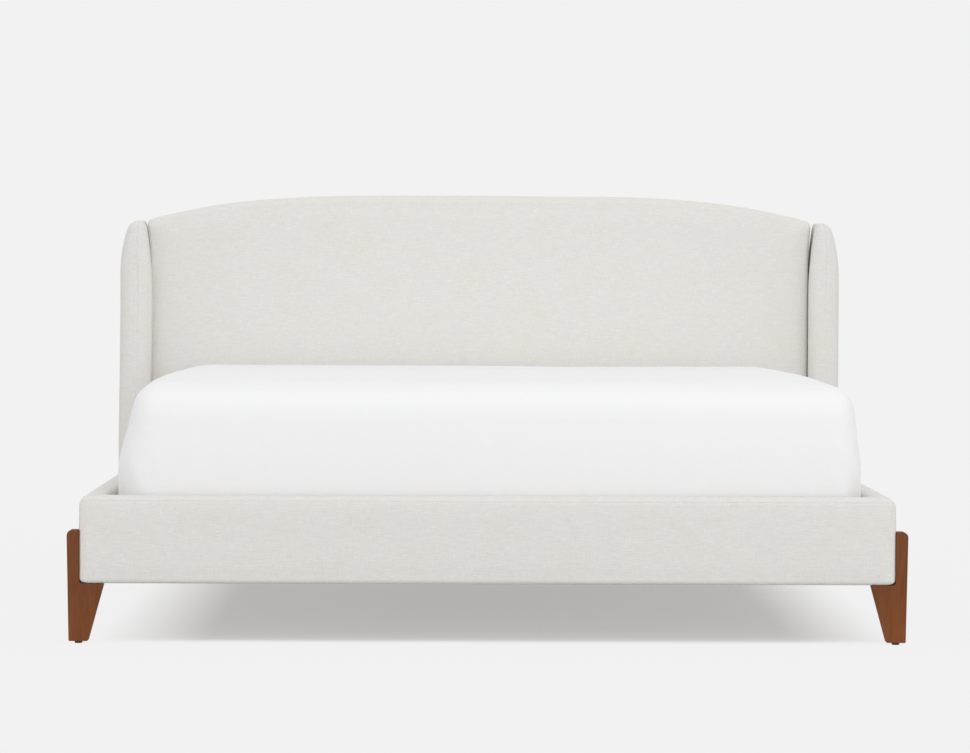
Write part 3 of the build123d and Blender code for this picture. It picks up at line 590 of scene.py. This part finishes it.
def make_headboard():
    low, high = PAD_LOW, PAD_HIGH
    half = high[X]

    def bend(points):
        bent = arched(points, half, low[Z], high[Z])
        back = high[Y] - HEAD_FLAT_BACK
        front = np.clip((back - points[:, Y]) / (back - low[Y]), 0, 1)
        bent[:, Y] += HEAD_CROWN * (points[:, X] / half) ** 2 * front
        corner = np.clip((points[:, Z] - high[Z]) / 0.14 + 1, 0, 1) ** 1.5
        outward = np.sign(points[:, X]) * eased(np.abs(points[:, X]), 0.9 * half, half)
        bent[:, X] += HEAD_FLARE * corner * outward
        return bent

    radii = ((0.016, 0.016), (0.024, 0.006), (0.006, 0.026))
    block = Block(low, high, radii, (0.02, 0.014, 0.02), 6, bend=bend)
    held = block.on(3) | block.on(4) | (block.flat[:, Y] > low[Y] + HEAD_FREE_DEPTH)
    inflate(block, 1.0 - held, 0.006)
    front = (block.on(2) | block.on(5)).astype(float)
    block.push(uneven(block.flat, 0.0008, 0.5, 5) * front)
    piece = subdivided(block.build("headboard_cover"))
    panel_low, panel_high = span("headboard_panel")
    core = Block(
        (panel_low[X], panel_low[Y], low[Z] - PAST), (panel_high[X], high[Y] + PAST, panel_high[Z]),
        np.zeros((3, 2)), (0.03, 1, 1), 1,
        bend=lambda points: arched(points, panel_high[X], panel_low[Z], panel_high[Z]),
    )
    carved(piece, core.build("cutter"))
    wear(piece, linen, "headboard_pad")


def make_wing(name, side):
    """A rounded wing that narrows to its top, more on its outer side, with a seam down the middle."""
    low, high = span(f"wing_pad_{name}")
    core_low, core_high = span(f"wing_core_{name}")
    width, middle = high[X] - low[X], (low[X] + high[X]) / 2 + WING_SEAM_OFF

    def bend(points):
        rise = np.clip((points[:, Z] - high[Z]) / 0.180 + 1, 0, 1)
        lean = (1 - np.sqrt(1 - (rise * 0.92) ** 2)) / (1 - math.sqrt(1 - 0.92**2))
        lean_in = np.clip((points[:, Z] - high[Z]) / 0.210 + 1, 0, 1) ** 1.5
        share = (points[:, X] - low[X]) / width
        outward = share if side > 0 else 1 - share
        bent = points.copy()
        bent[:, X] += side * (WING_TAPER_IN * (1 - outward) * lean_in - WING_TAPER_OUT * outward * lean)
        clear = eased(points[:, Z], RAIL_TOP, RAIL_TOP + 0.12)
        ahead = np.clip((PAD_LOW[Y] + 0.012 - points[:, Y]) / 0.03, 0, 1)
        bent[:, X] -= side * WING_LAP[name] * (1 - outward) * clear * ahead
        bent[:, X] += WING_LEAN[name] * eased(points[:, Z], RAIL_TOP, RAIL_TOP + 0.5)
        return bent

    def radii_at(flat):
        """Round across the front and nearly square at the back."""
        radii = np.zeros((len(flat), 3, 2))
        back = np.clip((flat[:, Y] - low[Y]) / (high[Y] - low[Y]) * 2.4 - 0.7, 0, 1)
        across = WING_NOSE[X] + (WING_BACK_EDGE - WING_NOSE[X]) * back
        radii[:, X] = across[:, None]
        radii[:, Y] = (WING_NOSE[Y], WING_BACK_EDGE)
        radii[:, Z] = (WING_FOOT_EDGE, WING_NOSE[Z])
        return radii

    radii = ((WING_NOSE[X], WING_NOSE[X]), (WING_NOSE[Y], WING_BACK_EDGE), (WING_FOOT_EDGE, WING_NOSE[Z]))
    block = Block(low, high, radii, (0.005, 0.012, 0.016), 7, (seam_lines(middle), (), ()), bend, radii_at)
    seam = np.abs(block.flat[:, X] - middle) < SEAM_HALF
    rear = block.flat[:, Y] > high[Y] - 0.03
    inner, outer = (block.on(0), block.on(1)) if side > 0 else (block.on(1), block.on(0))
    held = rear | inner | block.on(4) | (seam & (block.on(2) | block.on(5)))
    inflate(block, 1.0 - held, 0.003)
    block.push(uneven(block.flat, BOARD_WAVE, 0.3, 31 + side) * (block.on(2) | outer))
    around = (block.on(2) | block.on(5) | block.on(3)).astype(float)
    block.groove(X, middle, around, depth=0.0016, width=0.0012, puff=0.0006)
    piece = subdivided(block.build(f"wing_cover_{name}", shift=2.9 + side))
    carved(piece, cutter_box((core_low[X], core_low[Y], core_low[Z] - PAST), core_high))
    wear(piece, linen, f"wing_pad_{name}")


# ---------------------------------------------------------------- mattress and fitted sheet
SIDE_SHIFT = 0.007
FOOT_SWELL = 0.011  # how much higher the foot end's top stands
FOOT_BELLY = 0.014
CORNER_IN = 0.020  # how far the front left corner's top is drawn in
UNDER_SHEET = 0.006  # how far the mattress is drawn in after its bend, to keep clear of the sheet
CREASE_IN = 0.094  # from the left side to the corner fold's edge
CREASE_HALF = 0.008
FOLD_DEPTH, FOLD_STEP = 0.005, 0.0022
TUCK = 0.15
PULL_LENGTH, GATHER_LENGTH, GATHER_BEAT = 0.085, 0.088, 0.31
SHEET_MARGIN = 0.002


def shell_radii(more=0.0):
    """The mattress' corner radii, and the sheet's, which are a little larger."""
    return ((0.09 + more, 0.09 + more), (0.14 + more, 0.10 + more), (0.02 + more, 0.09 + more))


def crease_share(points, low):
    """1 on the foot end's lower part, where the sheet's corner fold shows, and 0 above and behind it."""
    ahead = eased(points[:, Y], low[Y] + 0.10, low[Y] + 0.02)
    return ahead * eased(points[:, Z], low[Z] + 0.26, low[Z] + 0.17)


def mattress_bend(low, high):
    """How the mattress stands: a little to the right, its sides and head end further out at the bottom, its
    foot end bellied and swollen on top, its front left corner drawn in, and its foot end stepped back past
    the sheet's fold. The head end's bottom goes out too far: it stands inside the headboard's cover."""
    middle, half = (low + high) / 2, (high - low) / 2

    def bend(points):
        bent = points.copy()
        lean = 1 - eased(points[:, Z], low[Z] + 0.10, low[Z] + 0.29)
        out = -0.006 + 0.016 * lean
        share = (points - middle) / half
        bent[:, X] += out * share[:, X] + SIDE_SHIFT
        foot = points[:, Y] < middle[Y]
        belly = eased(points[:, Z], high[Z], high[Z] - 0.18) - eased(points[:, Z], low[Z] + 0.15, low[Z])
        bent[:, Y] += np.where(foot, FOOT_BELLY * belly, out) * share[:, Y]
        footward = eased(points[:, Y], high[Y] - 0.05, high[Y] - 1.15)
        rise = (points[:, Z] - low[Z]) / (high[Z] - low[Z])
        bent[:, Z] += FOOT_SWELL * footward * rise
        corner = eased(points[:, X], -0.45, -0.95) * eased(points[:, Y], low[Y] + 0.7, low[Y] + 0.1)
        bent[:, X] += CORNER_IN * corner * eased(rise, 0.35, 0.85)
        past = (low[X] + CREASE_IN - points[:, X]) / CREASE_IN
        bent[:, Y] += FOLD_DEPTH * np.clip(past, 0, 1) * crease_share(points, low)
        return bent

    return bend


def make_mattress():
    low, high = span("mattress")
    block = Block(low, high, shell_radii(), (0.04, 0.04, 0.02), 7, bend=mattress_bend(low, high), power=2.5)
    around = (block.on(0) | block.on(1) | block.on(2) | block.on(3)).astype(float)
    hem = np.minimum(block.flat - low, high - block.flat)[:, :2].min(1)
    block.push(-UNDER_SHEET * np.where(block.on(4), eased(hem, TUCK + 0.05, TUCK + 0.01), 1.0))
    block.groove(Z, low[Z] + 0.03, around, 0.003, 0.004)
    piece = subdivided(block.build("mattress_core"))
    wear(piece, ticking, "mattress", "mattress_unit")


def make_sheet():
    """The fitted sheet: open underneath inside its tuck, with pulls near its corners, a fold at the front
    left one and a gathered hem."""
    low, high = span("fitted_sheet")
    steps = (0.0245, 0.0245, 0.0145)
    block = Block(low, high, shell_radii(SHEET_MARGIN), steps, 9, bend=mattress_bend(low, high), power=2.5)
    flat = block.flat
    edge_x = np.minimum(flat[:, X] - low[X], high[X] - flat[:, X])
    edge_y = np.minimum(flat[:, Y] - low[Y], high[Y] - flat[:, Y])
    hem = np.minimum(edge_x, edge_y)
    below = block.on(4) & (hem > TUCK)
    inflate(block, eased(flat[:, Z], low[Z] + 0.02, low[Z] + 0.08), 0.003, pressure=3.0)
    block.push((uneven(flat, 0.0012, 0.6, 3) + 0.001) * ~block.on(4))
    from_corner = np.hypot(edge_x, edge_y)
    along = np.where(edge_x < edge_y, flat[:, Y], flat[:, X])
    pulls = np.sin(along * 2 * math.pi / PULL_LENGTH + 5 * flat[:, Z] / PULL_LENGTH)
    pulls *= eased(from_corner, 0.34, 0.08) * eased(flat[:, Z], low[Z] + 0.24, low[Z] + 0.10)
    block.push(0.0009 * pulls)
    gathers = np.sin(along * 2 * math.pi / GATHER_LENGTH) * np.sin(along * 2 * math.pi / GATHER_BEAT + 1)
    block.push(-0.0022 * (1 + gathers) * block.on(4) * eased(hem, 0.02, 0.12))
    edge = low[X] + CREASE_IN
    crease = eased(flat[:, X], edge + CREASE_HALF, edge - CREASE_HALF)
    block.push(-FOLD_STEP * crease * crease_share(flat, low))
    keep = ~below[block.quads].all(1)
    block.quads, block.sides = block.quads[keep], block.sides[keep]
    piece = subdivided(block.build("fitted_sheet_cloth", shift=4.1))
    wear(piece, percale, "fitted_sheet", "mattress_unit")


# ---------------------------------------------------------------- legs
FOOT_WIDTH = 0.049
FOOT_LEAN = 0.005
RIM = 0.0016


def rounded_outline(corners):
    """The points of an outline through (x, z, radius) corners, each turned into an arc."""
    outline = []
    for n, (x, z, radius) in enumerate(corners):
        here = Vector((x, z))
        before = (Vector(corners[n - 1][:2]) - here).normalized()
        after = (Vector(corners[(n + 1) % len(corners)][:2]) - here).normalized()
        half = before.angle(after) / 2
        start = here + before * radius / math.tan(half)
        end = here + after * radius / math.tan(half)
        centre = here + (before + after).normalized() * radius / math.sin(half)
        turns = 8 if radius > 0.005 else 3
        for t in range(turns + 1):
            direction = (start - centre).lerp(end - centre, t / turns).normalized()
            outline.append(centre + direction * radius)
    return outline


def make_leg(name, side):
    """A flat bracket leg: the foot under the frame and the strip up its side, with eased edges. It has no
    bore, so the glide's stem and sleeve stand inside its wood."""
    low, high = span(f"leg_{name}")
    rail_low, rail_high = span(f"side_rail_pad_{name.split('_')[1]}")
    under = rail_low[Z]
    face = rail_high[X] if side > 0 else -rail_low[X]
    outer = max(abs(low[X]), abs(high[X]))
    shoulder = min(abs(low[X]), abs(high[X]))
    foot_out = outer - FOOT_LEAN
    outline = rounded_outline((
        (foot_out - FOOT_WIDTH, low[Z], 0.003), (foot_out, low[Z], 0.003), (outer, high[Z], 0.014),
        (face, high[Z], 0.001), (face, under, 0.008), (shoulder, under, 0.0005),
    ))
    bm = bmesh.new()
    front = [bm.verts.new((side * p.x, low[Y], p.y)) for p in outline]
    back = [bm.verts.new((side * p.x, high[Y], p.y)) for p in outline]
    count = len(outline)
    bm.faces.new(front)
    bm.faces.new(back[::-1])
    for n in range(count):
        m = (n + 1) % count
        bm.faces.new((front[m], front[n], back[n], back[m]))
    bmesh.ops.recalc_face_normals(bm, faces=bm.faces)
    rims = [e for e in bm.edges if e.verts[0].co.y == e.verts[1].co.y]
    bmesh.ops.bevel(bm, geom=rims, offset=RIM, segments=3, profile=0.5, affect="EDGES", clamp_overlap=True)
    bmesh.ops.recalc_face_normals(bm, faces=bm.faces)
    mesh = bpy.data.meshes.new(f"leg_block_{name}")
    bm.to_mesh(mesh)
    bm.free()
    mesh.shade_smooth()
    mesh.set_sharp_from_angle(angle=math.radians(35))
    piece = bpy.data.objects.new(f"leg_block_{name}", mesh)
    scene.collection.objects.link(piece)
    wear(piece, leg_wood, f"leg_{name}")


# ---------------------------------------------------------------- the CAD nodes that stay
def longest(node):
    low, high = span(node)
    return int(np.argmax(high - low))


def paint_frame():
    """Materials for the CAD nodes that stay: the ones listed here, glides of nylon, slats of birch, and the
    rest of pine with its grain along the node's longest side."""
    surfaces = {"slat_tapes": webbing, "leg_dowels": beech}
    for node in ("corner_bolts", "wing_bolts", "headboard_bolts", "headboard_nuts", "hanger_screws",
                 "ledger_screws", "leg_studs", "glide_inserts"):
        surfaces[node] = steel_zinc
    for node in ("corner_brackets", "beam_hangers", "mid_beam_inner", "mid_beam_outer"):
        surfaces[node] = steel_black
    for node in ("headboard_panel", "wing_core_left", "wing_core_right"):
        surfaces[node] = ply_face
    for node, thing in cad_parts.items():
        if node.startswith("glide_") and node != "glide_inserts":
            surface = nylon
        elif node.startswith("slat_") and node[5:].isdigit():
            surface = birch
        else:
            surface = surfaces.get(node) or pine[longest(node)]
        thing.data.materials.clear()
        thing.data.materials.append(surface)


BACK_HEM = 0.014


def make_back():
    """The lined board on the headboard's back, with rounded edges and a seam round its turned hem."""
    low, high = span("headboard_back_cover")
    half = high[X]
    radii = ((0.003, 0.003), (0.0008, 0.0018), (0.003, 0.003))
    hems = [(axis, place) for axis in (X, Z) for place in (low[axis] + BACK_HEM, high[axis] - BACK_HEM)]
    extra = [[line for axis, place in hems if axis == n for line in seam_lines(place)] for n in (X, Y, Z)]
    block = Block(low, high, radii, (0.03, 0.001, 0.03), 3, extra,
                  bend=lambda points: arched(points, half, low[Z], high[Z]))
    for axis, place in hems:
        block.groove(axis, place, block.on(3).astype(float), depth=0.0009, width=0.0012)
    piece = subdivided(block.build("headboard_back_lining", shift=6.3))
    wear(piece, lining, "headboard_back_cover")


# ---------------------------------------------------------------- everything
make_footboard()
for word, sign in (("left", -1), ("right", 1)):
    make_side_rail(word, sign)
    make_wing(word, sign)
    make_leg(f"front_{word}", sign)
    make_leg(f"rear_{word}", sign)
make_headboard()
make_back()
make_mattress()
make_sheet()
paint_frame()


# ---------------------------------------------------------------- studio
BACKDROP = 0.888  # how bright the camera sees the backdrop and the open floor
BOUNCE = 0.70  # the floor's albedo, to every ray but the camera's
FLOOR_PAINT = 0.9  # the floor's albedo to the camera
PALE_SHARE = 0.47  # how much of the floor's look is plain brightness, under the bed
OPEN_SHARE = 0.95  # the same beside the bed
# how far to the right the painted shadow under the bed is moved
SHADE_SHIFT = 0.035
SKY = 0.874


def make_floor():
    """A pale floor that takes light and shade. The camera sees it mixed with plain brightness, less of it
    under the bed, which deepens the shadow there, and nothing else far away, where it meets the backdrop."""
    mesh = bpy.data.meshes.new("studio_floor")
    reach = 40.0
    corners = [(-reach, -reach, 0), (reach, -reach, 0), (reach, reach, 0), (-reach, reach, 0)]
    mesh.from_pydata(corners, [], [(0, 1, 2, 3)])
    floor = bpy.data.objects.new("studio_floor", mesh)
    scene.collection.objects.link(floor)
    made = bpy.data.materials.new("studio_floor_paint")
    made.use_nodes = True
    tree = made.node_tree
    tree.nodes.clear()
    direct, seen = ray_kinds(tree)
    tint = blend(tree, direct, (BOUNCE, BOUNCE, BOUNCE, 1), (FLOOR_PAINT, FLOOR_PAINT, FLOOR_PAINT, 1))
    matt = add(tree, "BsdfDiffuse", {"Color": tint})
    pale = add(tree, "Emission", {"Color": (BACKDROP, BACKDROP, BACKDROP, 1), "Strength": 1.0})
    place = add(tree, "SeparateXYZ", {0: add(tree, "TexCoord").outputs["Object"]}).outputs
    rail = span("side_rail_pad_right")[1][X]
    foot = span("footboard_pad")[0][Y]
    # painted shadow: under the bed the camera sees less of the plain brightness, reaching its least 0.29 m
    # inside the rails' outer sides and 0.11 m inside the ends
    inside_x = minus(tree, rail, calc(tree, "ABSOLUTE", minus(tree, place[X], SHADE_SHIFT)))
    inside_y = minus(tree, -foot, calc(tree, "ABSOLUTE", place[Y]))
    deep = times(tree, remap(tree, inside_x, 0.0, 0.29), remap(tree, inside_y, 0.03, 0.11))
    flat = remap(tree, deep, 0.0, 1.0, OPEN_SHARE, PALE_SHARE)
    away = calc(tree, "MAXIMUM", times(tree, inside_x, -1.0), times(tree, inside_y, -1.0))
    far = remap(tree, away, 0.5, 4.0)
    flat = calc(tree, "ADD", flat, times(tree, far, minus(tree, 1.0, flat)))
    both = add(tree, "MixShader", {0: times(tree, seen, flat), 1: matt.outputs[0], 2: pale.outputs[0]})
    add(tree, "OutputMaterial", {0: both.outputs[0]})
    floor.data.materials.append(made)


def make_world():
    """An even sky, whose brightness to the camera is the backdrop's."""
    world = bpy.data.worlds.new("studio_world")
    scene.world = world
    world.use_nodes = True
    tree = world.node_tree
    tree.nodes.clear()
    seen = ray_kinds(tree)[1]
    level = calc(tree, "MULTIPLY_ADD", seen, BACKDROP - SKY, SKY)
    sky = add(tree, "Background", {"Color": (1, 1, 1, 1), "Strength": level})
    add(tree, "OutputWorld", {0: sky.outputs[0]})


def sun(name, direction, strength, angle):
    """A distant soft lamp that shines along direction."""
    data = bpy.data.lights.new(name, "SUN")
    data.energy, data.angle = strength, math.radians(angle)
    made = bpy.data.objects.new(name, data)
    made.rotation_mode = "QUATERNION"
    made.rotation_quaternion = Vector(direction).to_track_quat("-Z", "Y")
    scene.collection.objects.link(made)


def panel(name, place, target, size, power):
    """A soft box at place that faces target."""
    data = bpy.data.lights.new(name, "AREA")
    data.shape, data.size, data.size_y, data.energy = "RECTANGLE", size[0], size[1], power
    made = bpy.data.objects.new(name, data)
    made.location = place
    made.rotation_mode = "QUATERNION"
    made.rotation_quaternion = (Vector(target) - Vector(place)).to_track_quat("-Z", "Y")
    scene.collection.objects.link(made)


VIEW_DISTANCE = 8.65
VIEW_SIDE, VIEW_HEIGHT = -0.1305, 0.979
VIEW_DOWN, VIEW_ROLL, VIEW_TURN = 1.896, -0.23, -0.79


def make_camera():
    data = bpy.data.cameras.new("camera")
    data.lens, data.sensor_width = 124.73, 36.0
    made = bpy.data.objects.new("camera", data)
    made.location = (VIEW_SIDE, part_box("footboard_pad")[0][Y] - VIEW_DISTANCE, VIEW_HEIGHT)
    made.rotation_mode = "XYZ"
    made.rotation_euler = (math.radians(90 - VIEW_DOWN), math.radians(VIEW_ROLL), math.radians(VIEW_TURN))
    scene.collection.objects.link(made)
    scene.camera = made
    data.clip_end = 100


make_floor()
make_world()
sun("fill_light", (-0.15, 1.0, -0.02), 0.67, 60)
panel("key_light", (2.4, -5.5, 4.4), (0, 0, 0.4), (3.0, 3.0), 32)
make_camera()
scene.view_settings.view_transform = "Standard"
